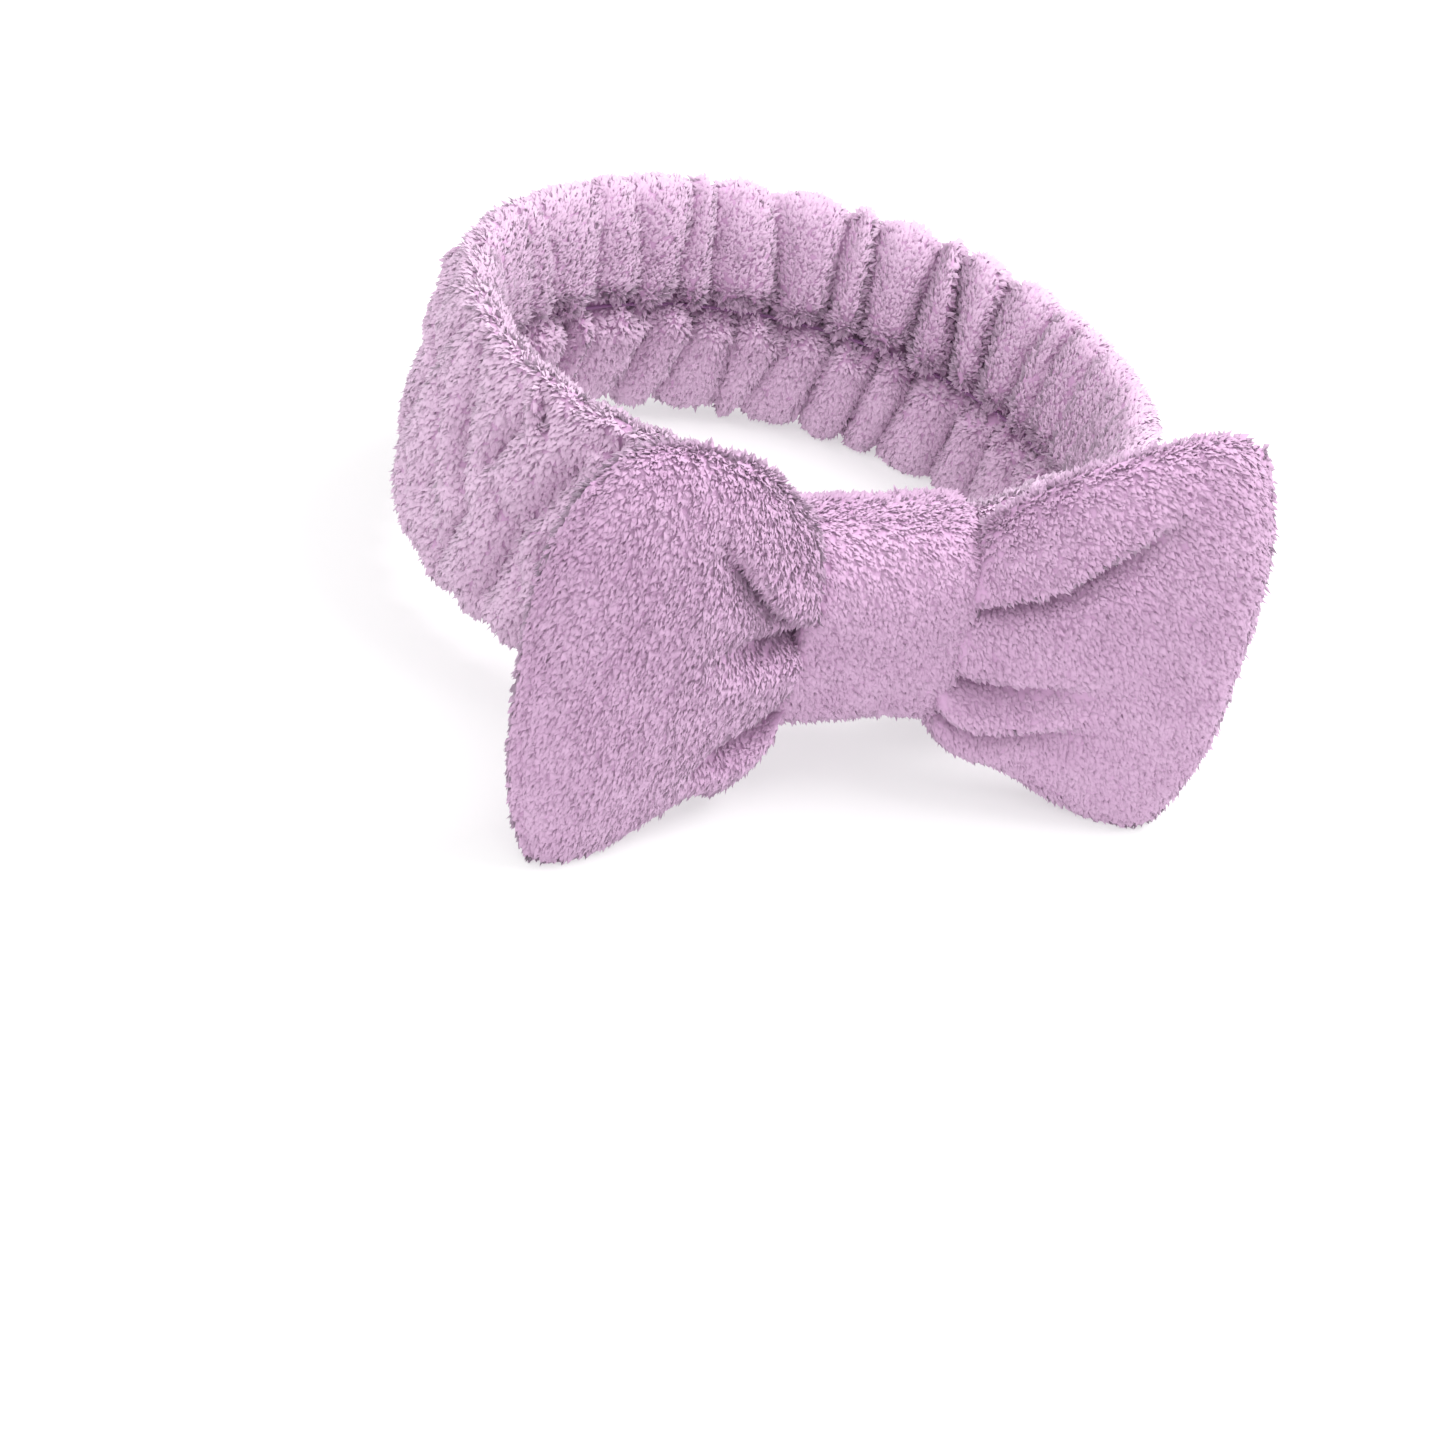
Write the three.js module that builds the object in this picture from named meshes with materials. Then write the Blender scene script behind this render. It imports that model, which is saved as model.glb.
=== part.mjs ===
// Plush spa headband: an elastic ring in a gathered fleece sleeve, with a padded bow that a wrapped
// knot holds to its front. Millimetres, +Z up. The bow faces -Y and stands level on its two lower
// corners. The ring behind it leans a little to the right, where its rim rests on the ground.
// The origin is on the ground, under the middle of the whole.
import * as THREE from "three";

// Clearance between pieces that touch
const gap = 0.3;

// Ring: an oval of fleece sleeve, measured to the middle of its wall
const ringHalfWidth = 90;
const ringHalfDepth = 74.7;
const bandHeight = 70;
const bandThickness = 19.5;
const sleeveWallShare = 4.6 / 19.5;
const sleeveSection = 2.6;
const bandLean = (5 * Math.PI) / 180;
const bandSettle = 3.3;
const seamGroove = 4;
const seamGrooveHalf = 6;

// Elastic strip inside the sleeve, its ends lapped under the knot
const elasticWidth = 34;
const elasticThickness = 1.1;
const elasticLap = 26;
const elasticOutset = 1.4;
const elasticSection = 8;
const elasticSides = 8;

// Bow: two wings and a pinched waist
const bowWidth = 178;
const bowX = -8;
const wingHalfHeight = 59;
const wingFrontPuff = 14;
const wingBackPuff = 10.5;
const wingForward = 3.5;
const wingWall = 4;
const wingSettle = 2.4;
const wingRootRelief = 2.6;
const wingSection = 2.4;
const wingFan = 0.6;
const wingFullest = 0.55;
const wingForwardFrom = 0.25;
const wingEdgeShare = 0.16;
const wingEdgePower = 8;
const wingFlare = (12 * Math.PI) / 180;
const wingPitch = (8 * Math.PI) / 180;
const wingCornerTuck = 10;
const wingCornerRounding = 0.09;
const wingCornerPower = 10;
const wingThreadCorners = [0.85, 0.5, 0, -0.5, -0.85];
const waistThickness = 11;

// Knot: a strip wrapped round the waist and the front of the band
const knotWidth = 42;
const knotHeight = 60;
const knotWall = 5.4;
const knotSlack = 2;
const knotDrop = 4;
const knotDropReach = 0.4;
const knotSection = 2.6;
const knotInsideSection = 4;
const bandInKnot = 12;
const knotLead = 3;
const gripFade = 26;
const riseFade = 52;

// Sewing thread
const threadRadius = 0.5;
const stitchRise = 3;
const lapStitches = 9;
const tackStitches = 7;
const closingStitches = 13;

// Mesh density
const sectionSteps = 20;
const ringSteps = 26;
const sideSteps = 12;
const knotSteps = 3;
const wingSteps = 12;
const elasticSteps = 56;
const threadSides = 3;

// Worked out from the sizes above
const sleeveWall = sleeveWallShare * bandThickness;
const threadRoom = 2 * (threadRadius + gap);
const threadInset = wingWall + 2 * threadRoom;
const gripHalf = knotWidth / 2 + knotLead;
const gripHeight = knotHeight - 2 * (knotWall + knotSlack);
const gripReach = gripHalf + Math.abs(bowX);
const frontDepth = ringHalfDepth * Math.sqrt(1 - (gripReach / ringHalfWidth) ** 2);
const [knotStart, knotEnd] = [-gripHalf, gripHalf].map((x) => {
  return -Math.acos((x + bowX) / ringHalfWidth);
});
const sectionAngles = Array.from({ length: sectionSteps }, (_, i) => {
  return (2 * Math.PI * i) / sectionSteps;
});
const wingStations = Array.from({ length: wingSteps + 1 }, (_, i) => i / wingSteps);
const wingReach = Math.max(...wingStations.map((s) => wingHeight(s)));
const bowZ = wingReach - wingSettle;
const knotZ = bowZ - knotDrop;
const ringZ = bandHeight / 2 + ringHalfWidth * Math.sin(bandLean) - bandSettle;
const knotFront = frontDepth + bandInKnot / 2 + threadRoom + waistThickness + gap + knotWall;
const knotMiddle = knotFront - gap - knotWall - waistThickness / 2;
const ringY = (knotMiddle + wingFront() - ringHalfDepth - bandThickness / 2) / 2;
const waistY = ringY - frontDepth - bandInKnot / 2 - threadRoom - waistThickness / 2;
const knotBackY = ringY - frontDepth + bandInKnot / 2 + gap + knotWall;
const knotFrontY = ringY - knotFront;

function smooth(t) {
  const x = Math.min(1, Math.max(0, t));
  return x * x * (3 - 2 * x);
}

function mix(a, b, t) {
  return a + (b - a) * t;
}

// A superellipse's two coordinates at an angle, from -1 to 1
function rounded(angle, power) {
  const bend = (v) => Math.sign(v) * Math.abs(v) ** (2 / power);
  return [bend(Math.cos(angle)), bend(Math.sin(angle))];
}

// The knot's hold on the band at an angle round the ring: 1 in the knot, and 0 past a fade from it
function grip(angle, fade = gripFade) {
  const fromKnot = Math.abs(ringHalfWidth * Math.cos(angle) - bowX);
  const away = smooth((fromKnot - gripHalf) / fade);
  return Math.sin(angle) < 0 ? 1 - away : 0;
}

// The ring's middle line. Angle 0 is its right side, and near -90 degrees is its front, where the
// line rises to the knot and is straight and level in it.
function ringLine(angle) {
  const across = ringHalfWidth * Math.cos(angle);
  const depth = Math.max(ringHalfDepth * Math.sin(angle), -frontDepth);
  const z = mix(ringZ - across * Math.sin(bandLean), knotZ, grip(angle, riseFade));
  return new THREE.Vector3(across, ringY + depth, z);
}

// A point of the band at an angle round the ring: outward of the middle line and up from it
function bandPoint(angle, outward, upward) {
  const step = 0.02;
  const tangent = ringLine(angle + step).sub(ringLine(angle - step)).normalize();
  const lean = bandLean * (1 - grip(angle));
  const up = new THREE.Vector3(Math.sin(lean), 0, Math.cos(lean));
  const out = new THREE.Vector3().crossVectors(tangent, up).normalize();
  return ringLine(angle).addScaledVector(out, outward).addScaledVector(up, upward);
}

// How far the seam pulls the sleeve's inner face in, at a height from the seam
function seamPull(angle, upward) {
  const depth = mix(seamGroove, threadRoom, grip(angle));
  return depth * Math.exp(-((upward / seamGrooveHalf) ** 2));
}

function sleeveThickness(angle) {
  return mix(bandThickness, bandInKnot, grip(angle));
}

// One closed line round the sleeve's section, at a depth in its wall from 0, outside, to 1, inside
function sleeveRing(angle, depth) {
  const thickness = sleeveThickness(angle);
  const wall = (depth * sleeveWall * thickness) / bandThickness;
  const halfHeight = mix(bandHeight, gripHeight, grip(angle)) / 2 - wall;
  return sectionAngles.map((around) => {
    const [r, h] = rounded(-around, sleeveSection);
    const upward = halfHeight * h;
    const pull = r < 0 ? seamPull(angle, upward) : 0;
    const point = bandPoint(angle, (thickness / 2 - wall) * r + pull, upward);
    point.z = Math.max(point.z, wall);
    return point;
  });
}

// Triangles between two rings of points; a shell's inner skin is turned over
function sideFaces(from, to, count, inward) {
  return Array.from({ length: count }, (_, i) => {
    const j = (i + 1) % count;
    const quad = [from + i, from + j, to + j, from + i, to + j, to + i];
    return inward ? quad.reverse() : quad;
  }).flat();
}

// Closes a ring whose front and back points face each other across its middle plane
function capFaces(start, count, turned) {
  const faces = [];
  for (let i = 0; i < count / 2; i += 1) {
    const front = [(i - count / 4 + count) % count, (i + 1 - count / 4 + count) % count];
    const back = front.map((k) => (count / 2 - k + count) % count);
    const corners = [front[0], front[1], back[1], back[0]].map((k) => start + k);
    const halves = [[0, 1, 2], [0, 2, 3]].map((half) => half.map((k) => corners[k]));
    const sound = halves.filter((half) => new Set(half).size === 3);
    faces.push(...sound.map((half) => (turned ? half.reverse() : half)).flat());
  }
  return faces;
}

function geometryOf(points, faces) {
  const geometry = new THREE.BufferGeometry().setFromPoints(points);
  geometry.setIndex(faces);
  geometry.computeVertexNormals();
  return geometry;
}

// A solid through a row of rings, closed at both ends
function loft(rings) {
  const count = rings[0].length;
  const last = (rings.length - 1) * count;
  const faces = rings.slice(1).flatMap((_, k) => {
    return sideFaces(k * count, (k + 1) * count, count, false);
  });
  return geometryOf(rings.flat(), [
    ...faces,
    ...capFaces(0, count, true),
    ...capFaces(last, count, false),
  ]);
}

// A hollow shell between outer and inner rings. The first end is open, and the last is open or closed.
function shell(outer, inner, closed) {
  const count = outer[0].length;
  const innerStart = outer.length * count;
  const lastOuter = innerStart - count;
  const lastInner = innerStart + (inner.length - 1) * count;
  const faces = sideFaces(0, innerStart, count, true);
  outer.slice(1).forEach((_, k) => {
    faces.push(...sideFaces(k * count, (k + 1) * count, count, false));
  });
  inner.slice(1).forEach((_, k) => {
    const from = innerStart + k * count;
    faces.push(...sideFaces(from, from + count, count, true));
  });
  if (closed) {
    faces.push(...capFaces(lastOuter, count, false), ...capFaces(lastInner, count, true));
  } else {
    faces.push(...sideFaces(lastOuter, lastInner, count, false));
  }
  return geometryOf([...outer.flat(), ...inner.flat()], faces);
}

// Even angles from one to another, both included
function spread(start, end, steps) {
  return Array.from({ length: steps + 1 }, (_, i) => mix(start, end, i / steps));
}

// Part of the sleeve, through some angles round the ring
function sleeve(angles) {
  return shell(angles.map((a) => sleeveRing(a, 0)), angles.map((a) => sleeveRing(a, 1)), false);
}

// The elastic: one strip that starts and ends in the knot, its last stretch outside its first
function elasticStrip() {
  const lapAngle = elasticLap / 2 / ringHalfWidth;
  const layer = elasticThickness / 2 + gap / 2;
  const rings = Array.from({ length: elasticSteps + 1 }, (_, i) => {
    const share = i / elasticSteps;
    const angle = mix(-Math.PI / 2 - lapAngle, (3 * Math.PI) / 2 + lapAngle, share);
    const turn = (angle + Math.PI / 2) / (2 * Math.PI);
    const spiral = mix(-layer, layer, smooth(2 * turn - 0.5));
    const outset = spiral + elasticOutset * (1 - grip(angle));
    return Array.from({ length: elasticSides }, (_, k) => {
      const [r, h] = rounded((-2 * Math.PI * k) / elasticSides, elasticSection);
      return bandPoint(angle, outset + (elasticThickness / 2) * r, (elasticWidth / 2) * h);
    });
  });
  return loft(rings);
}

// A thread along a smooth line through some points
function thread(points, steps) {
  const section = new THREE.Shape().absarc(0, 0, threadRadius, 0, 2 * Math.PI);
  return new THREE.ExtrudeGeometry(section, {
    steps,
    curveSegments: threadSides,
    extrudePath: new THREE.CatmullRomCurve3(points, false, "centripetal"),
  });
}

// The seam inside the ring, lying in the groove that it pulls
function seamThread(angles) {
  const points = angles.map((angle) => {
    const face = sleeveThickness(angle) / 2 - seamPull(angle, 0);
    return bandPoint(angle, -face - 1.5 * gap - threadRadius, 0);
  });
  return thread(points, 2 * ringSteps);
}

// Zigzag stitches in an upright plane, between two corners measured from the bow's middle
function zigzag(y, left, bottom, right, top, stitches, upright) {
  const points = Array.from({ length: stitches + 1 }, (_, i) => {
    const along = i / stitches;
    const over = i % 2;
    const x = upright ? mix(left, right, over) : mix(left, right, along);
    const z = upright ? mix(bottom, top, along) : mix(bottom, top, over);
    return new THREE.Vector3(bowX + x, y, knotZ + z);
  });
  return thread(points, 4 * stitches);
}

// A wing's half height at a share of its length, with its outer corners rounded
function wingHeight(s) {
  const fan = mix(gripHeight / 2, wingHalfHeight, s ** wingFan);
  return fan * (1 - wingCornerRounding * s ** wingCornerPower);
}

// A wing's half thickness, from the waist through its fullest part to its thin outer edge
function wingPuff(s, fullest) {
  const root = waistThickness / 2;
  const swell = mix(root, fullest, Math.sin((Math.PI / 2) * Math.min(1, s / wingFullest)));
  return swell * mix(wingEdgeShare, 1, Math.sqrt(1 - s ** wingEdgePower));
}

// How far forward of the waist a wing's middle plane is
function wingAdvance(x, s) {
  const flared = (x - knotWidth / 2) * Math.tan(wingFlare) * smooth(2 * s);
  return wingForward * smooth(s / wingForwardFrom) + flared;
}

// A wing's outline at a share of its length and an angle round its section, on its outer skin:
// out from the bow's middle, forward of the waist's middle plane, and up
function wingOutline(s, angle, edgeInset, faceInset) {
  const [t, v] = rounded(angle, wingSection);
  const root = knotWidth / 2 + gap + (wingRootRelief * (1 + t)) / 2;
  const outer = bowWidth / 2 - wingCornerTuck * Math.abs(v) ** 3 - edgeInset;
  const out = mix(root, outer, s);
  const puff = wingPuff(s, t > 0 ? wingBackPuff : wingFrontPuff);
  const inside = Math.max(gap, puff - faceInset);
  const up = (wingHeight(s) - edgeInset) * v;
  const forward = wingAdvance(out, s) - up * s * Math.sin(wingPitch) - inside * t;
  return [out, forward, up - knotDrop * (1 - smooth(s / knotDropReach))];
}

// How far forward of the waist the wings reach
function wingFront() {
  return Math.max(...wingStations.flatMap((s) => {
    return sectionAngles.map((angle) => wingOutline(s, angle, 0, 0)[1]);
  }));
}

// A point of a wing's skin, set in from its edges and from its faces. side is -1 on the left.
function wingPoint(side, s, angle, edgeInset, faceInset) {
  const [out, forward, up] = wingOutline(s, angle, edgeInset, faceInset);
  return new THREE.Vector3(bowX + side * out, waistY - forward, Math.max(bowZ + up, edgeInset));
}

function wingRings(side, edgeInset, faceInset, first) {
  return wingStations.slice(first).map((s) => {
    return sectionAngles.map((angle) => wingPoint(side, s, side * angle, edgeInset, faceInset));
  });
}

function wingCover(side) {
  const faceWall = waistThickness / 3;
  return shell(wingRings(side, 0, 0, 0), wingRings(side, wingWall, faceWall, 0), true);
}

function wingPad(side) {
  const edge = threadInset + 2 * threadRoom;
  const face = waistThickness / 3 + 5 * gap;
  return loft(wingRings(side, edge, face, 1));
}

// The thread that closes a wing, just inside its top, outer and bottom edges
function wingThread(side) {
  const edge = (s, angle) => wingPoint(side, s, angle, threadInset, wingFrontPuff);
  const along = wingStations.slice(1, -1);
  const corners = wingThreadCorners.map((v) => Math.asin(v));
  const top = along.map((s) => edge(s, Math.PI / 2));
  const end = corners.map((a) => edge(1, a));
  const bottom = along.map((s) => edge(s, -Math.PI / 2)).reverse();
  return thread([...top, ...end, ...bottom], 48);
}

function waist() {
  const half = knotWidth / 2;
  return loft([bowX - half, bowX + half].map((x) => {
    return sectionAngles.map((angle) => {
      const [t, v] = rounded(angle, wingSection);
      const z = knotZ + (gripHeight / 2) * v;
      return new THREE.Vector3(x, waistY + (waistThickness / 2) * t, z);
    });
  }));
}

// The knot's strip: a closed band round the waist and the front of the sleeve
function knotStrip() {
  const halfDepth = (knotBackY - knotFrontY) / 2;
  const middle = (knotBackY + knotFrontY) / 2;
  const ring = (x, inset, power) => sectionAngles.map((angle) => {
    const [t, v] = rounded(angle, power);
    const z = knotZ + (knotHeight / 2 - inset) * v;
    return new THREE.Vector3(x, middle + (halfDepth - inset) * t, z);
  });
  const ends = [bowX - knotWidth / 2, bowX + knotWidth / 2];
  const outer = ends.map((x) => ring(x, 0, knotSection));
  const inner = ends.map((x) => ring(x, knotWall, knotInsideSection));
  return shell(outer, inner, false);
}

const fleece = { color: 0xcda4c9, roughness: 0.95, metalness: 0 };
const fleeceInside = { color: 0xb98fb8, roughness: 0.95, metalness: 0 };
const cotton = { color: 0x9a6c9b, roughness: 0.8, metalness: 0 };
const webbing = { color: 0xf1eef0, roughness: 0.7, metalness: 0 };
const wadding = { color: 0xf6f4f2, roughness: 1, metalness: 0 };

const headband = new THREE.Group();

function add(name, geometry, finish) {
  const mesh = new THREE.Mesh(geometry, new THREE.MeshStandardMaterial(finish));
  mesh.name = name;
  headband.add(mesh);
}

const splitAngle = gap / 2 / ringHalfDepth;
const frontAngles = [
  ...spread(splitAngle - Math.PI, knotStart, sideSteps),
  ...spread(knotStart, knotEnd, knotSteps).slice(1),
  ...spread(knotEnd, -splitAngle, sideSteps).slice(1),
];
const rearAngles = spread(splitAngle, Math.PI - splitAngle, ringSteps);
add("sleeve_front", sleeve(frontAngles), fleece);
add("sleeve_rear", sleeve(rearAngles), fleece);
add("seam_thread_front", seamThread(frontAngles.slice(1, -1)), cotton);
add("seam_thread_rear", seamThread(rearAngles.slice(1, -1)), cotton);
add("elastic_strip", elasticStrip(), webbing);

const lapY = ringY - frontDepth - 1.5 * gap - elasticThickness - threadRadius;
const lapHalf = elasticWidth / 2 - 2 * stitchRise;
const lapStitch = zigzag(lapY, -stitchRise, -lapHalf, stitchRise, lapHalf, lapStitches, true);
add("elastic_lap_thread", lapStitch, cotton);

const tackY = waistY + waistThickness / 2 + threadRoom / 2;
const tackHalf = gripHeight / 5;
const tack = zigzag(tackY, -stitchRise, -tackHalf, stitchRise, tackHalf, tackStitches, true);
add("bow_tack_thread", tack, cotton);

add("bow_waist", waist(), fleeceInside);
add("knot_strip", knotStrip(), fleece);
const closingY = knotBackY + gap + threadRadius;
const closingHalf = knotWidth / 2 - stitchRise;
const seam = [closingY, -closingHalf, -stitchRise, closingHalf, stitchRise];
add("knot_closing_thread", zigzag(...seam, closingStitches, false), cotton);

for (const [name, side] of [["left", -1], ["right", 1]]) {
  add(`${name}_wing_cover`, wingCover(side), fleece);
  add(`${name}_wing_pad`, wingPad(side), wadding);
  add(`${name}_wing_thread`, wingThread(side), cotton);
}

export default headband;
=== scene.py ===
"""Looks of a plush spa headband: a gathered fleece sleeve on an elastic ring, with a padded bow in a knot.

Metres, +Z up, the bow faces -Y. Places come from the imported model. The soft forms are made here as grids
of points, the sleeve's gathers by cloth simulation, and the pile as small tufts of real geometry.
"""

import math

import bpy
import numpy as np
from mathutils import Matrix, Vector, noise
from mathutils.kdtree import KDTree


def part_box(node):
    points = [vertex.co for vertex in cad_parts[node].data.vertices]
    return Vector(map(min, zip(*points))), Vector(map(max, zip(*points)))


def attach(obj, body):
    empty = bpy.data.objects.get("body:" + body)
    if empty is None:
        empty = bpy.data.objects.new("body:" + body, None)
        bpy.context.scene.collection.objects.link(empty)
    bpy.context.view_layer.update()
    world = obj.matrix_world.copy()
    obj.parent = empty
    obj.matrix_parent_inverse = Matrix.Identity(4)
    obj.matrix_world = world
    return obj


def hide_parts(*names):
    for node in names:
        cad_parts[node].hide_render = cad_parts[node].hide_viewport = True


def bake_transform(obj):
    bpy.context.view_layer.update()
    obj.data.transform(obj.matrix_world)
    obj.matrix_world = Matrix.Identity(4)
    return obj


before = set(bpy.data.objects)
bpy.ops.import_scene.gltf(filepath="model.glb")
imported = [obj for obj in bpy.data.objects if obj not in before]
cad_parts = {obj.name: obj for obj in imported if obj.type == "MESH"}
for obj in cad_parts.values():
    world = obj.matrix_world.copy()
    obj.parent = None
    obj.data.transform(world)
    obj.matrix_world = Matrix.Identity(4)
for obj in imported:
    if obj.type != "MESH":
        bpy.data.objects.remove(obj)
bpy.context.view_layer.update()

# Sizes of the model, in metres
RING_HALF_WIDTH = 0.090
RING_HALF_DEPTH = 0.0747
BAND_HEIGHT = 0.070
BAND_THICKNESS = 0.0195
BAND_LEAN = math.radians(5)
BAND_SETTLE = 0.0033
BAND_IN_KNOT = 0.012
GRIP_HALF = 0.024
GRIP_HEIGHT = 0.0452
GRIP_FADE = 0.026
RISE_FADE = 0.052
SEAM_GROOVE = 0.0048
SEAM_HALF = 0.004
ELASTIC_HALF_REACH = 0.019
SKIN_OUTSIDE_FROM, SKIN_INSIDE_TO = 0.0034, 0.0
WING_HALF_HEIGHT = 0.059
WING_FRONT_PUFF = 0.014
WING_BACK_PUFF = 0.0105
WING_FLARE = math.radians(12)
WING_PITCH = math.radians(8)
WING_TOP_TUCK = 0.004
CLOTH_OFF_FLOOR = 0.0012
PILE_OFF_FLOOR = 0.0003

# The sleeve's cloth: points round the ring and round its section, how much too long it is, how far it may
# move before it is held back, and how strongly its gathers are sharpened
AROUND, SECTION = 260, 72
GROWTH = 0.3
FREE_MOVE = 0.006
HELD_BACK = 0.3
CRISP = 0.7

# Gathers round the ring: how many, their slant, and the seed of their places
TOP_GATHERS = (37, 0.10, 5)
LOW_GATHERS = (35, -0.05, 6)
LONG_GATHERS = (27, 0.16, 8)
SHORT_GATHERS = (33, -0.14, 9)

# The pile: tufts to a square metre, area of a clump, share of stray tufts, how far a tuft stands up from
# the cloth if it is and isn't stray, and how much of a tuft's own roundness its shading keeps
PILE = 1.9e6
CLUMP = 5e-6
STRAYS = 0.03
STRAY_STAND, STAND = 0.9, 0.26
STRAY_WIDTH = 0.55
CLUMPING = 0.35
ROOT_DEPTH = 0.3
BELLY_AT, BELLY_LIFT, BELLY_FLATNESS = 0.55, 0.08, 0.6
ROUNDNESS = 0.35

# How hollow the cloth is where the pile starts to thin, over how much more it is thinnest, and by how much.
# Where the pile thins, the cloth's painted shade shows in the creases.
CREASE_FROM, CREASE_OVER, CREASE_THINNING = 0.0002, 0.0007, 0.85

# The map of a grid, and a tuft's size on it
MAP_MARGIN, MAP_SPAN = 0.01, 0.98
TEXEL = 0.7 / 1024

knot_lo, knot_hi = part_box("knot_strip")
waist_lo, waist_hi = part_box("bow_waist")
right_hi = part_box("right_wing_cover")[1]
knot_x = (knot_lo.x + knot_hi.x) / 2
knot_half = (knot_hi.x - knot_lo.x) / 2
knot_z = (waist_lo.z + waist_hi.z) / 2
bow_z = right_hi.z - WING_HALF_HEIGHT + WING_TOP_TUCK
waist_y = (waist_lo.y + waist_hi.y) / 2
waist_half = (waist_hi.y - waist_lo.y) / 2
wing_end = right_hi.x - knot_x
ring_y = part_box("sleeve_rear")[1].y - BAND_THICKNESS / 2 - RING_HALF_DEPTH
ring_z = BAND_HEIGHT / 2 + RING_HALF_WIDTH * math.sin(BAND_LEAN) - BAND_SETTLE
reach = (GRIP_HALF + abs(knot_x)) / RING_HALF_WIDTH
front_depth = RING_HALF_DEPTH * math.sqrt(1 - reach**2)


def smooth(t):
    t = np.clip(t, 0, 1)
    return t * t * (3 - 2 * t)


def mix(a, b, t):
    return a + (b - a) * t


def bump(x, width):
    return np.exp(-((x / width) ** 2))


def rounded(angle, power):
    c, s = np.cos(angle), np.sin(angle)
    return np.sign(c) * np.abs(c) ** (2 / power), np.sign(s) * np.abs(s) ** (2 / power)


def unit(v):
    return v / np.maximum(np.linalg.norm(v, axis=-1, keepdims=True), 1e-9)


# ---------------------------------------------------------------- grids and meshes
def unwrapped(corners):
    """Map points of each face's corners. Where the grid joins itself they carry on past its last line."""
    crosses = np.ptp(corners, axis=1, keepdims=True) > 0.5
    return corners + MAP_SPAN * (crosses & (corners < 0.5))


def mesh_piece(name, points, faces, uv, material):
    """A mesh object from points, a list of face arrays, and a UV point for each vertex."""
    mesh = bpy.data.meshes.new(name)
    loops = np.concatenate([f.ravel() for f in faces])
    sizes = np.concatenate([np.full(len(f), f.shape[1]) for f in faces])
    mesh.vertices.add(len(points))
    mesh.vertices.foreach_set("co", points.astype(np.float32).ravel())
    mesh.loops.add(len(loops))
    mesh.loops.foreach_set("vertex_index", loops.astype(np.int32))
    mesh.polygons.add(len(sizes))
    starts = np.concatenate([[0], np.cumsum(sizes)[:-1]])
    mesh.polygons.foreach_set("loop_start", starts.astype(np.int32))
    mesh.polygons.foreach_set("use_smooth", np.ones(len(sizes), bool))
    layer = mesh.uv_layers.new(name="OFBake")
    corners = [(unwrapped(uv[f]) if f.shape[1] < 5 else uv[f]).reshape(-1, 2) for f in faces]
    layer.data.foreach_set("uv", np.concatenate(corners).astype(np.float32).ravel())
    mesh.update(calc_edges=True)
    mesh.validate()
    mesh.materials.append(material)
    piece = bpy.data.objects.new(name, mesh)
    bpy.context.scene.collection.objects.link(piece)
    return piece


def grid_faces(rows, columns, wrap_rows):
    """Quads of a grid whose columns always wrap round."""
    i = np.arange(rows if wrap_rows else rows - 1)[:, None]
    j = np.arange(columns)[None, :]
    a, b = (i % rows) * columns, ((i + 1) % rows) * columns
    k = (j + 1) % columns
    return np.stack([a + j, b + j, b + k, a + k], -1).reshape(-1, 4)


def grid_normals(grid, wrap_rows):
    along = np.roll(grid, -1, 0) - np.roll(grid, 1, 0)
    if not wrap_rows:
        along[0], along[-1] = grid[1] - grid[0], grid[-1] - grid[-2]
    across = np.roll(grid, -1, 1) - np.roll(grid, 1, 1)
    return unit(np.cross(along, across))


def finer(grid, axis):
    """Twice as many points along an axis that wraps round, on a smooth line through the old ones."""
    a = np.moveaxis(grid, axis, 0)
    middle = (9 * (a + np.roll(a, -1, 0)) - np.roll(a, 1, 0) - np.roll(a, -2, 0)) / 16
    both = np.stack([a, middle], 1).reshape((-1,) + a.shape[1:])
    return np.moveaxis(both, 0, axis)


def blur(grid, times, wrap_rows):
    for _ in range(times):
        near = (np.roll(grid, 1, 1) + np.roll(grid, -1, 1)) / 2
        if wrap_rows:
            near = (near + (np.roll(grid, 1, 0) + np.roll(grid, -1, 0)) / 2) / 2
        grid = (grid + near) / 2
    return grid


def noise_at(points, scale, seed):
    """Smooth noise from about -1 to 1, one value a point."""
    shift = Vector((seed * 17.3, seed * 7.9, seed * 3.1))
    return np.array([noise.noise(Vector(p) / scale + shift) for p in points])


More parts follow.
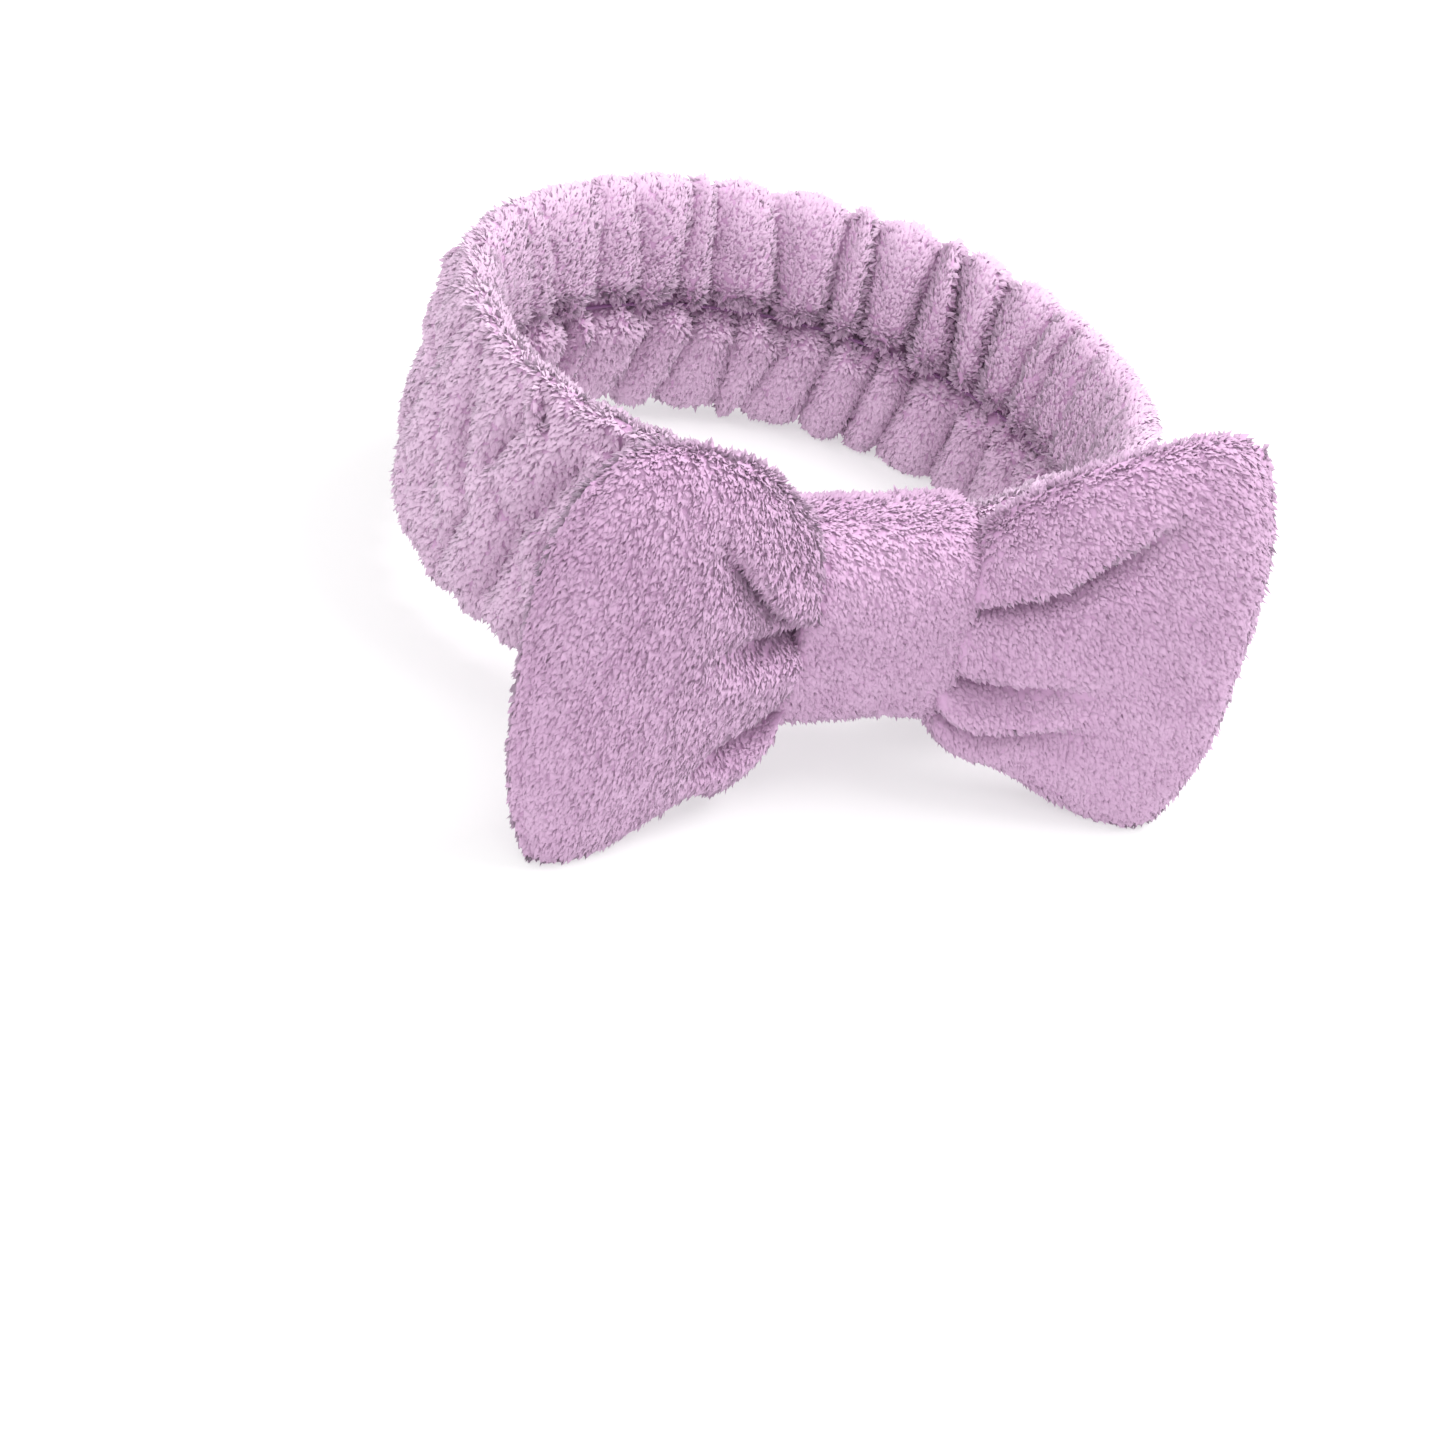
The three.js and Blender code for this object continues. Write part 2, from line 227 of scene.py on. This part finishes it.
# ---------------------------------------------------------------- pile
def pile(co, nrm, uv, faces, full, density, length, width, comb, spread, seed):
    """Tufts over a surface: their points, shading normals, map points and faces. Tips gather in clumps.

    full is how thick the pile is at each point. comb gives each root's lean, and how likely it is to grow.
    """
    rng = np.random.default_rng(seed)
    tris = np.concatenate([faces[:, [0, 1, 2]], faces[:, [0, 2, 3]]])
    a, b, c = (co[tris[:, k]] for k in range(3))
    area = np.linalg.norm(np.cross(b - a, c - a), axis=1) / 2 * full[tris].mean(1)
    count = int(area.sum() * density)
    pick = tris[rng.choice(len(tris), count, p=area / area.sum())]
    u, v = rng.random((2, count, 1))
    u, v = np.where(u + v > 1, 1 - u, u), np.where(u + v > 1, 1 - v, v)

    def at(corners):
        return mix(corners[:, 0], corners[:, 1], u) + (corners[:, 2] - corners[:, 0]) * v

    root, normal, place = at(co[pick]), unit(at(nrm[pick])), at(unwrapped(uv[pick]))
    lean, grows = comb(root, normal)
    kept = rng.random(count) < grows
    root, normal, place, lean = root[kept], normal[kept], place[kept], lean[kept]
    count = len(root)
    lean -= normal * (lean * normal).sum(1, keepdims=True)
    size = length * np.exp(rng.normal(0, 0.16, (count, 1)))
    wild = rng.normal(0, spread, (count, 3))
    stray = rng.random((count, 1)) < STRAYS
    tip = root + size * unit(np.where(stray, STRAY_STAND, STAND) * normal + lean + wild)
    # Tips near a clump's middle lean together
    centres = rng.choice(count, max(8, int(area.sum() / CLUMP)), replace=False)
    tree = KDTree(len(centres))
    for k, i in enumerate(centres):
        tree.insert(tip[i], k)
    tree.balance()
    nearest = np.array([tree.find(t)[1] for t in tip])
    meet = tip[centres][nearest]
    pull = CLUMPING * rng.random((count, 1))
    tip = mix(tip, meet, pull)
    sunk = root - ROOT_DEPTH * size * normal
    axis = unit(tip - sunk)
    side = unit(np.cross(axis, normal + rng.normal(0, 0.3, (count, 3))))
    other = np.cross(axis, side)
    half = width / 2 * np.exp(rng.normal(0, 0.2, (count, 1))) * np.where(stray, STRAY_WIDTH, 1)
    waist = mix(sunk, tip, BELLY_AT) + BELLY_LIFT * size * normal
    turns = [math.pi / 2 + k * 2 * math.pi / 3 for k in range(3)]
    belly = [waist + half * (math.cos(t) * side + BELLY_FLATNESS * math.sin(t) * other) for t in turns]
    points = np.stack([sunk, *belly, tip], 1).reshape(-1, 3)
    points[:, 2] = np.maximum(points[:, 2], PILE_OFF_FLOOR)
    round_it = [ROUNDNESS * unit(b - waist) + normal for b in belly]
    shade = unit(np.stack([normal, *round_it, normal + ROUNDNESS * axis], 1).reshape(-1, 3))
    ring = [np.array([math.cos(t), math.sin(t)]) * TEXEL for t in turns]
    ends = np.array([0.3 * TEXEL, 0])
    places = np.stack([place - ends, *(place + r for r in ring), place + ends], 1).reshape(-1, 2)
    start = 5 * np.arange(count)[:, None, None]
    petal = np.array([[0, 2, 1], [0, 3, 2], [0, 1, 3], [1, 2, 4], [2, 3, 4], [3, 1, 4]])[None]
    return points, shade, places, (start + petal).reshape(-1, 3)


def plush(name, grid, wrap_rows, caps, materials, density, length, width, comb, spread, seed):
    """A fleece piece: its cloth from a grid, in the second material, and its pile, in the first. The second
    material is painted shade for the gaps between the tufts.
    """
    middle = grid.mean((0, 1) if not wrap_rows else 1, keepdims=True)
    if ((grid - middle) * grid_normals(grid, wrap_rows)).sum() < 0:
        grid = grid[:, ::-1]
    rows, columns = grid.shape[:2]
    co = grid.reshape(-1, 3)
    nrm = grid_normals(grid, wrap_rows).reshape(-1, 3)
    i, j = np.meshgrid(np.arange(rows) / rows, np.arange(columns) / columns, indexing="ij")
    uv = MAP_MARGIN + MAP_SPAN * np.stack([i, j], -1).reshape(-1, 2)
    faces = grid_faces(rows, columns, wrap_rows)
    hollow = ((blur(grid, 8, wrap_rows).reshape(-1, 3) - co) * nrm).sum(1)
    full = 1 - CREASE_THINNING * smooth((hollow - CREASE_FROM) / CREASE_OVER)
    tufts = pile(co, nrm, uv, faces, full, density, length, width, comb, spread, seed)
    tip_co, tip_nrm, tip_uv, tip_faces = tufts
    ends = []
    if caps:
        first = np.arange(columns)
        ends = [first[::-1][None], (first + (rows - 1) * columns)[None]]
    points = np.concatenate([co, tip_co])
    places = np.concatenate([uv, tip_uv])
    piece = mesh_piece(name, points, [faces, tip_faces + len(co), *ends], places, materials[0])
    piece.data.materials.append(materials[1])
    index = np.ones(len(piece.data.polygons), np.int32)
    index[len(faces):len(faces) + len(tip_faces)] = 0
    piece.data.polygons.foreach_set("material_index", index)
    piece.data.normals_split_custom_set_from_vertices(np.concatenate([nrm, tip_nrm]))
    return piece


# ---------------------------------------------------------------- materials
def node_material(name, roughness):
    material = bpy.data.materials.new(name)
    material.use_nodes = True
    tree = material.node_tree
    shader = tree.nodes["Principled BSDF"]
    shader.inputs["Roughness"].default_value = roughness
    return material, tree, shader


def colour_noise(tree, shader, low, high, scale, detail):
    """The base colour wanders between two colours with the place on the object."""
    where = tree.nodes.new("ShaderNodeTexCoord")
    field = tree.nodes.new("ShaderNodeTexNoise")
    field.inputs["Scale"].default_value = scale
    field.inputs["Detail"].default_value = detail
    ramp = tree.nodes.new("ShaderNodeValToRGB")
    ramp.color_ramp.elements[0].position = 0.3
    ramp.color_ramp.elements[0].color = (*low, 1)
    ramp.color_ramp.elements[1].position = 0.7
    ramp.color_ramp.elements[1].color = (*high, 1)
    tree.links.new(where.outputs["Object"], field.inputs["Vector"])
    tree.links.new(field.outputs["Fac"], ramp.inputs["Fac"])
    tree.links.new(ramp.outputs["Color"], shader.inputs["Base Color"])
    return field


def fleece_material(name, low, high):
    material, tree, shader = node_material(name, 0.85)
    colour_noise(tree, shader, low, high, 90, 4)
    shader.inputs["Specular IOR Level"].default_value = 0.15
    shader.inputs["Sheen Weight"].default_value = 0.35
    shader.inputs["Sheen Roughness"].default_value = 0.5
    shader.inputs["Sheen Tint"].default_value = (0.95, 0.8, 0.95, 1)
    return material


def thread_material(name, low, high, scale):
    material, tree, shader = node_material(name, 0.7)
    field = colour_noise(tree, shader, low, high, scale, 2)
    raised = tree.nodes.new("ShaderNodeBump")
    raised.inputs["Strength"].default_value = 0.5
    raised.inputs["Distance"].default_value = 0.0003
    tree.links.new(field.outputs["Fac"], raised.inputs["Height"])
    tree.links.new(raised.outputs["Normal"], shader.inputs["Normal"])
    return material


sleeve_fleece = fleece_material("sleeve_fleece", (0.71, 0.50, 0.68), (0.77, 0.56, 0.74))
# The bow's fleece is the sleeve's fleece made darker: painted shade over the wings, the knot and its waist.
bow_fleece = fleece_material("bow_fleece", (0.61, 0.385, 0.58), (0.67, 0.445, 0.64))
# The cloth between the tufts is darker and more saturated than the sleeve's pile: painted shade in the
# gaps.
painted_shade_backing = fleece_material("fleece_backing_painted_shade", (0.64, 0.39, 0.61), (0.69, 0.44, 0.66))
thread = thread_material("sewing_thread", (0.26, 0.12, 0.27), (0.34, 0.17, 0.35), 2500)
webbing = thread_material("elastic_webbing", (0.80, 0.78, 0.79), (0.90, 0.88, 0.89), 1200)


# ---------------------------------------------------------------- the ring
def grip(angle, fade):
    from_knot = np.abs(RING_HALF_WIDTH * np.cos(angle) - knot_x)
    hold = 1 - smooth((from_knot - GRIP_HALF) / fade)
    return np.where(np.sin(angle) < 0, hold, 0)


def ring_line(angle):
    across = RING_HALF_WIDTH * np.cos(angle)
    depth = np.maximum(RING_HALF_DEPTH * np.sin(angle), -front_depth)
    z = mix(ring_z - across * math.sin(BAND_LEAN), knot_z, grip(angle, RISE_FADE))
    return np.stack([across, ring_y + depth, z], -1)


def ring_frame(angle):
    """The middle line, and the ways out and up, at angles round the ring."""
    step = 0.02
    tangent = unit(ring_line(angle + step) - ring_line(angle - step))
    lean = BAND_LEAN * (1 - grip(angle, GRIP_FADE))
    up = np.stack([np.sin(lean), np.zeros_like(lean), np.cos(lean)], -1)
    return ring_line(angle), unit(np.cross(tangent, up)), up


def folds_between(angle, h, count, slant, seed):
    """Pillows between creases round the ring: 1 in a pillow's middle and 0 in a crease, and its size."""
    rng = np.random.default_rng(seed)
    place = (np.arange(count) + rng.uniform(-0.28, 0.28, count)) / count * 2 * math.pi
    tilt = slant + rng.normal(0, 0.035, count)
    bend = rng.normal(0, 0.03, count)
    size = rng.uniform(0.55, 1.15, count)
    pillow, weight = np.zeros(angle.shape), np.zeros(angle.shape)
    for j in range(angle.shape[1]):
        at = place + tilt * h[0, j] + bend * h[0, j] ** 2
        at = np.concatenate([at[-1:] - 2 * math.pi, at, at[:1] + 2 * math.pi])
        number = np.interp(angle[:, j], at, np.arange(count + 2))
        x = number % 1
        pillow[:, j] = 1 - np.abs(2 * x - 1) ** 2.4
        weight[:, j] = size[number.astype(int) % count]
    return pillow, weight


def gathers(angle, p):
    """How far the gathers push the sleeve's skin out, over its grid."""
    r, h = rounded(math.pi - p, 2.3)
    angle = angle + 0 * p
    h = h + 0 * angle
    r = r + 0 * angle
    top, top_size = folds_between(angle, h, *TOP_GATHERS)
    low, low_size = folds_between(angle, h, *LOW_GATHERS)
    long, long_size = folds_between(angle, h, *LONG_GATHERS)
    short, short_size = folds_between(angle, h, *SHORT_GATHERS)
    which = smooth(0.5 + 1.1 * np.sin(7 * angle + 2.5 * h) * np.cos(4 * h - 3 * angle))
    side, side_size = mix(long, short, which), mix(long_size, short_size, which)
    inside = smooth((0.55 - r) / 0.7)
    over = smooth((h + 0.1) / 0.5)
    upper = np.where(r < 0, (h > 0) * 1.0, over) * mix(0.55, 1, inside)
    lower = np.where(r < 0, (h <= 0) * 1.0, 0) + smooth((-h - 0.75) / 0.25) * (r >= 0)
    outer = smooth((r - 0.2) / 0.5)
    loose_right = bump(angle - 5.6, 0.7)
    outer = outer * (1 - 0.6 * loose_right)
    right_rear = bump(angle - 0.8, 0.8)
    push = (0.0012 + 0.0040 * right_rear) * upper * top_size * (top - 0.75)
    push = push + 0.0036 * lower * low_size * (low - 0.75)
    return push + 0.0038 * outer * side_size * (side - 0.75)


def seam_wander(angle):
    """How far above its straight line the inside seam is."""
    return 0.0009 * (np.sin(23 * angle) + np.sin(37 * angle + 1) + 0.6 * np.sin(61 * angle))


def sleeve_skin(angle, p, groove, gathered):
    """The sleeve's skin over a grid of angles round the ring and round its section."""
    r, h = rounded(math.pi - p, 2.3)
    line, out, up = ring_frame(angle[:, 0])
    loose = 1 - grip(angle, GRIP_FADE)
    thickness = mix(BAND_IN_KNOT, BAND_THICKNESS, loose)
    height = mix(GRIP_HEIGHT, BAND_HEIGHT - 0.002, loose)
    push = gathers(angle, p) * loose * gathered
    wander = seam_wander(angle) * loose
    upward = height / 2 * h + push * h + wander * np.where(r < 0, bump(h, 0.3), 0)
    sunk = np.where(r < 0, groove * bump(upward - wander, SEAM_HALF), 0) * loose
    outward = thickness / 2 * r + sunk + push * r
    return line[:, None] + out[:, None] * outward[..., None] + up[:, None] * upward[..., None]


def sleeve_start():
    """The sleeve's grid before its cloth is let go, its rest shape, and which points are held."""
    angle = (np.arange(AROUND) / AROUND * 2 * math.pi)[:, None]
    p = (np.arange(SECTION) / SECTION * 2 * math.pi)[None]
    start = sleeve_skin(angle, p, SEAM_GROOVE, 0.8)
    wide = ring_line(angle[:, 0]) - np.array([0, ring_y, 0])
    loose = 1 - grip(angle, GRIP_FADE)
    rest = start + wide[:, None] * np.array([GROWTH, GROWTH, 0])
    held = (p < 1e-6) * 1.0 + 0 * angle
    held = np.maximum(held, (loose < 0.005) * 1.0)
    return start, rest, held


def let_go(name, start, rest, held, pressure, frames, stiff):
    """Runs the cloth from start, with the lengths of rest, and returns where its points end."""
    rows, columns = start.shape[:2]
    flat = start.reshape(-1, 3)
    cloth = mesh_piece(name, flat, [grid_faces(rows, columns, True)], flat[:, :2], sleeve_fleece)
    group = cloth.vertex_groups.new(name="held")
    for i in np.nonzero(held.ravel() > 0)[0]:
        group.add([int(i)], float(held.ravel()[i]), "REPLACE")
    cloth.shape_key_add(name="Basis")
    key = cloth.shape_key_add(name="rest")
    key.data.foreach_set("co", rest.astype(np.float32).ravel())
    key.value = 0
    modifier = cloth.modifiers.new("cloth", "CLOTH")
    settings = modifier.settings
    settings.quality = 6
    settings.mass = 0.25
    settings.air_damping = 2
    settings.tension_stiffness = settings.compression_stiffness = 25
    settings.shear_stiffness = 6
    settings.bending_stiffness = stiff
    settings.vertex_group_mass = "held"
    settings.rest_shape_key = key
    settings.effector_weights.gravity = 0
    settings.use_pressure = True
    settings.uniform_pressure_force = pressure
    modifier.point_cache.frame_start = 1
    modifier.point_cache.frame_end = frames
    for f in range(1, frames + 1):
        bpy.context.scene.frame_set(f)
    shown = cloth.evaluated_get(bpy.context.evaluated_depsgraph_get())
    ends = np.empty(len(flat) * 3, np.float32)
    shown.data.vertices.foreach_get("co", ends)
    bpy.data.objects.remove(cloth)
    bpy.context.scene.frame_set(1)
    moved = ends.reshape(-1, 3).astype(float) - flat
    far = np.linalg.norm(moved, axis=1, keepdims=True)
    slowed = (FREE_MOVE + HELD_BACK * (far - FREE_MOVE)) / np.maximum(far, 1e-9)
    moved *= np.where(far > FREE_MOVE, slowed, 1)
    return (flat + moved).reshape(start.shape)


def clear_of_elastic(grid):
    """Keeps the skin off both faces of the elastic inside it."""
    line, out, up = ring_frame(np.arange(len(grid)) / len(grid) * 2 * math.pi)
    away = grid - line[:, None]
    outward = (away * out[:, None]).sum(-1)
    beside = np.abs((away * up[:, None]).sum(-1)) < ELASTIC_HALF_REACH
    outer = np.cos(np.arange(grid.shape[1]) / grid.shape[1] * 2 * math.pi) < 0
    least = np.where(outer & beside, SKIN_OUTSIDE_FROM, -1)
    most = np.where(~outer & beside, SKIN_INSIDE_TO, 1)
    return grid + out[:, None] * (np.clip(outward, least, most) - outward)[..., None]


def gathered_sleeve():
    start, rest, held = sleeve_start()
    grid = let_go("sleeve_cloth", start, rest, held, 3.0, 18, 0.6)
    for axis in (0, 1):
        grid = finer(grid, axis)
    angle = (np.arange(2 * AROUND) / AROUND * math.pi)[:, None]
    p = (np.arange(2 * SECTION) / SECTION * math.pi)[None]
    sharper = sleeve_skin(angle, p, SEAM_GROOVE, 1.0) - sleeve_skin(angle, p, SEAM_GROOVE, 0.45)
    grid = grid + sharper
    return clear_of_elastic(grid + CRISP * (grid - blur(grid, 10, True)))


sleeve_grid = gathered_sleeve()
sleeve_grid[..., 2] = np.maximum(sleeve_grid[..., 2], CLOTH_OFF_FLOOR)


def sleeve_comb(root, normal):
    """Inside the ring the pile fans away from the seam, over the rim it lies outward, and else down."""
    angle = np.arctan2((root[:, 1] - ring_y) / RING_HALF_DEPTH, root[:, 0] / RING_HALF_WIDTH)
    line, out, up = ring_frame(angle)
    height = ((root - line) * up).sum(1, keepdims=True)
    inside = smooth(-0.1 - 2 * (normal * out).sum(1, keepdims=True))
    fan = up * np.clip(height / 0.012, -1, 1) * 0.9
    down = 0.7 * out * np.clip((normal * up).sum(1, keepdims=True), 0, 1) - 0.8 * up
    # The pile thins in the seam, where the cloth's painted shade shows.
    in_seam = inside * bump(height - seam_wander(angle)[:, None], 0.0012)
    return mix(down, fan, inside), 1 - 0.95 * in_seam[:, 0]


sleeve = plush("gathered_sleeve", sleeve_grid, True, False, (sleeve_fleece, painted_shade_backing), PILE, 0.0026, 0.0015,
               sleeve_comb, 0.2, 11)
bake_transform(sleeve)
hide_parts("sleeve_front", "sleeve_rear")


def stretching(name, material, slot, *nodes):
    """Copies of CAD nodes as one piece, with the nodes hidden."""
    copies = [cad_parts[n].data for n in nodes]
    points = [np.array([v.co for v in m.vertices]) for m in copies]
    offsets = np.cumsum([0] + [len(p) for p in points])
    faces = [np.array([t.vertices[:] for t in m.polygons if len(t.vertices) == 3]) + o
             for m, o in zip(copies, offsets)]
    co = np.concatenate(points)
    span = np.ptp(co, axis=0).max()
    piece = mesh_piece(name, co, faces, (co[:, :2] - co[:, :2].min(0)) / span, material)
    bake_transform(piece)
    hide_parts(*nodes)


stretching("elastic_ring", webbing, "elastic_webbing", "elastic_strip")
stretching("inner_seam", thread, "sewing_thread", "seam_thread_front", "seam_thread_rear")


# ---------------------------------------------------------------- the wings
def lobes(s, v, creases):
    """Lobes between creases that run out from the knot: how far they stand out, and how far they hang down.

    A crease is its v at the knot, its v at its far end, how far it goes, its depth, and its overhang.
    """
    stand, hang = 0 * s * v, 0 * s * v
    lines = []
    for start, end, far, depth, over in creases:
        line = mix(start, end, np.clip(s / far, 0, 1.3))
        strength = (1 - smooth(s / far)) ** 0.7 * mix(0.75, 1.15, smooth(4 * s / far))
        lines.append((line, strength, depth, over))
    edges = [-1.1 + 0 * s, *(crease[0] for crease in lines), 1.1 + 0 * s]
    for below, above in zip(edges, edges[1:]):
        x = np.clip((v - below) / np.maximum(above - below, 1e-3), 0, 1)
        inside = (v >= below) & (v < above)
        pillow = 1 - np.abs(2 * x - 1) ** 2.6
        stand = np.where(inside, pillow, stand)
    near = 1 - smooth(s / 0.5)
    lift = 0.0042 * near * (stand - 0.3)
    for line, strength, depth, over in lines:
        away = (v - line) * np.sign(over)
        lift = lift - depth * strength * np.where(away < 0, bump(away, 0.17), bump(away, 0.035))
        lip = np.where(away > 0, bump(away, 0.25), bump(away, 0.04))
        lift = lift + abs(over) * strength * lip
        hang = hang - over * strength * lip
    return lift, hang


def wing_grid(side, creases, fan_power, low_root, corner):
    """A wing's skin: stations from inside the knot to the closed outer edge, and points round each."""
    stations, columns = 90, 144
    s = np.concatenate([np.linspace(-0.09, 1, stations), [1, 1, 1]])[:, None]
    thin = np.concatenate([np.ones(stations), [0.86, 0.55, 0.05]])[:, None]
    further = np.concatenate([np.zeros(stations), [0.0012, 0.0021, 0.0025]])[:, None]
    angle = (np.arange(columns) / columns * 2 * math.pi)[None]
    t, v = rounded(angle, 2.3)
    along = np.clip(s, 0, 1)
    outer = wing_end - 0.010 * np.abs(v) ** 3
    front = np.clip(-t, 0, 1) ** 0.6
    out = mix(knot_half, outer, s) + further
    out = out - 0.0040 * bump(along - 0.07, 0.09) * np.abs(t) ** 0.5 * front
    fan = mix(GRIP_HEIGHT / 2, WING_HALF_HEIGHT, along**fan_power)
    below = low_root * bump(along - 0.13, 0.15) * (v < 0)
    above = np.where(v > 0, 1 - corner * along**5, 1)
    height = (fan * above + below) * (1 - 0.09 * along**10) - 0.0012
    fullest = np.where(t > 0, WING_BACK_PUFF, WING_FRONT_PUFF)
    swell = mix(waist_half, fullest, np.sin(np.pi / 2 * np.minimum(1, along / 0.42)))
    puff = swell * mix(0.24, 1, np.sqrt(np.clip(1 - along**6, 0, 1))) * thin
    lift, hang = lobes(along, v, creases)
    up = height * v
    flared = (out - knot_half) * math.tan(WING_FLARE) * smooth(2 * along)
    advance = 0.0035 * smooth(along / 0.25) + flared
    pleats = 0.0010 * np.sin(v * 17 + side) * bump(along, 0.35) * np.clip(t, 0, 1)
    tilt = up * along * math.sin(WING_PITCH)
    forward = advance - tilt - puff * t + lift * front - pleats
    x = knot_x + side * out
    y = waist_y - forward
    z = mix(knot_z, bow_z, smooth(along / 0.4)) + up + hang * front
    grid = np.stack([x + 0 * y, y, z + 0 * y], -1)
    grid[..., 2] = np.maximum(grid[..., 2], CLOTH_OFF_FLOOR)
    return blur(grid, 1, False)


# Each wing's creases, as lobes() takes them
LEFT_CREASES = [(-0.58, -0.80, 0.45, 0.010, -0.004), (-0.02, 0.04, 0.45, 0.010, -0.003),
                (0.38, 0.76, 0.52, 0.013, 0.007)]
RIGHT_CREASES = [(-0.62, -0.36, 0.60, 0.011, 0.005), (-0.24, -0.10, 0.62, 0.009, 0.003),
                 (0.50, 0.80, 0.70, 0.024, 0.006)]


def wing(name, grid, seed):
    def comb(root, _normal):
        away = np.stack([np.sign(root[:, 0] - knot_x), 0 * root[:, 0], (root[:, 2] - bow_z) / 0.05], -1)
        from_knot = np.abs(root[:, 0] - knot_x) - knot_half
        # The pile thins next to the knot, where the cloth's painted shade shows as a dark line.
        return 0.6 * unit(away) + np.array([0, -0.5, -0.8]), smooth((from_knot + 0.0015) / 0.0025)

    piece = plush(f"{name}_wing_cushion", grid, False, True, (bow_fleece, painted_shade_backing), PILE * 1.2, 0.0026,
                  0.0013, comb, 0.2, seed)
    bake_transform(piece)
    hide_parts(f"{name}_wing_cover", f"{name}_wing_pad", f"{name}_wing_thread")


wing("left", wing_grid(-1, LEFT_CREASES, 0.45, 0.009, 0.15), 21)
wing("right", wing_grid(1, RIGHT_CREASES, 0.55, 0.004, 0.0), 22)


# ---------------------------------------------------------------- the knot
def knot_grid():
    """The wrapped strip: round its loop, and round its own section, which is rounded at both edges."""
    loop = (np.arange(150) / 150 * 2 * math.pi)[:, None]
    part = (np.arange(60) / 60 * 2 * math.pi)[None]
    across, depth = rounded(part, 3.4)
    wall = 0.0054
    inset = wall / 2 * (1 - depth) * np.ones_like(loop)
    t, v = rounded(loop, 2.6)
    waisted = 0.0012 * (1 - across**2)
    half_depth = (knot_hi.y - knot_lo.y) / 2 - inset - waisted
    half_height = (knot_hi.z - knot_lo.z) / 2 - inset - waisted
    y = (knot_hi.y + knot_lo.y) / 2 + half_depth * t
    z = (knot_hi.z + knot_lo.z) / 2 + half_height * v - 0.0025 * (v > 0) * v
    x = knot_x + (knot_half + 0.001) * across + 0 * y
    grid = np.stack([x, y, z], -1)
    flat = grid.reshape(-1, 3)
    lumps = 0.0009 * noise_at(flat, 0.014, 3) + 0.0004 * noise_at(flat, 0.006, 5)
    facing = grid_normals(grid, True).reshape(-1, 3)
    return (flat + facing * lumps[:, None]).reshape(grid.shape)


def knot_comb(root, _normal):
    return np.array([0.3, -0.5, -0.8]) + 0 * root, 1


knot = plush("wrapped_knot", knot_grid(), True, False, (bow_fleece, painted_shade_backing), PILE * 1.3, 0.0023, 0.0012,
             knot_comb, 0.2, 31)
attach(knot, "band_front")
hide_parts("knot_strip")

for node, material in (("bow_waist", bow_fleece), ("elastic_lap_thread", thread),
                       ("bow_tack_thread", thread), ("knot_closing_thread", thread)):
    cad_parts[node].data.materials.clear()
    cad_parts[node].data.materials.append(material)


# ---------------------------------------------------------------- camera, floor and light
def camera():
    data = bpy.data.cameras.new("camera")
    data.lens = 62.35
    data.sensor_width = 36
    data.clip_start = 0.01
    seen = bpy.data.objects.new("camera", data)
    bpy.context.scene.collection.objects.link(seen)
    aim = Vector((-0.0278, -0.0488, 0.0001))
    azimuth, elevation, roll = (math.radians(a) for a in (-27.887, 38.683, 15.898))
    back = Vector((math.sin(azimuth) * math.cos(elevation), -math.cos(azimuth) * math.cos(elevation),
                   math.sin(elevation)))
    right = (-back).cross(Vector((0, 0, 1))).normalized()
    up = right.cross(-back)
    turned = right * math.cos(roll) + up * math.sin(roll)
    upright = up * math.cos(roll) - right * math.sin(roll)
    seen.matrix_world = Matrix((turned, upright, back)).transposed().to_4x4()
    seen.location = aim + back * 0.62896
    bpy.context.scene.camera = seen


def area_light(name, place, aim, size, power):
    data = bpy.data.lights.new(name, "AREA")
    data.shape = "DISK"
    data.size = size
    data.energy = power
    lamp = bpy.data.objects.new(name, data)
    bpy.context.scene.collection.objects.link(lamp)
    lamp.location = place
    lamp.rotation_euler = (Vector(place) - Vector(aim)).to_track_quat("Z", "Y").to_euler()


def studio():
    floor_material, _, shader = node_material("floor", 0.9)
    shader.inputs["Base Color"].default_value = (0.5, 0.5, 0.5, 1)
    shader.inputs["Emission Color"].default_value = (1, 1, 1, 1)
    shader.inputs["Emission Strength"].default_value = 0.5
    shader.inputs["Specular IOR Level"].default_value = 0
    corners = np.array([[-6, -6, 0], [6, -6, 0], [6, 6, 0], [-6, 6, 0]], float)
    floor = mesh_piece("floor", corners, [np.array([[0, 1, 2, 3]])], corners[:, :2] / 24, floor_material)
    world = bpy.data.worlds.new("studio")
    world.use_nodes = True
    world.node_tree.nodes["Background"].inputs["Color"].default_value = (1, 1, 1, 1)
    world.node_tree.nodes["Background"].inputs["Strength"].default_value = 0.90
    bpy.context.scene.world = world
    middle = (0, 0, 0.05)
    area_light("key", (0.65, -0.10, 1.15), middle, 0.8, 14.0)
    area_light("fill", (-0.7, -0.3, 1.2), middle, 1.2, 6.0)
    bpy.context.scene.view_settings.view_transform = "Standard"


camera()
studio()
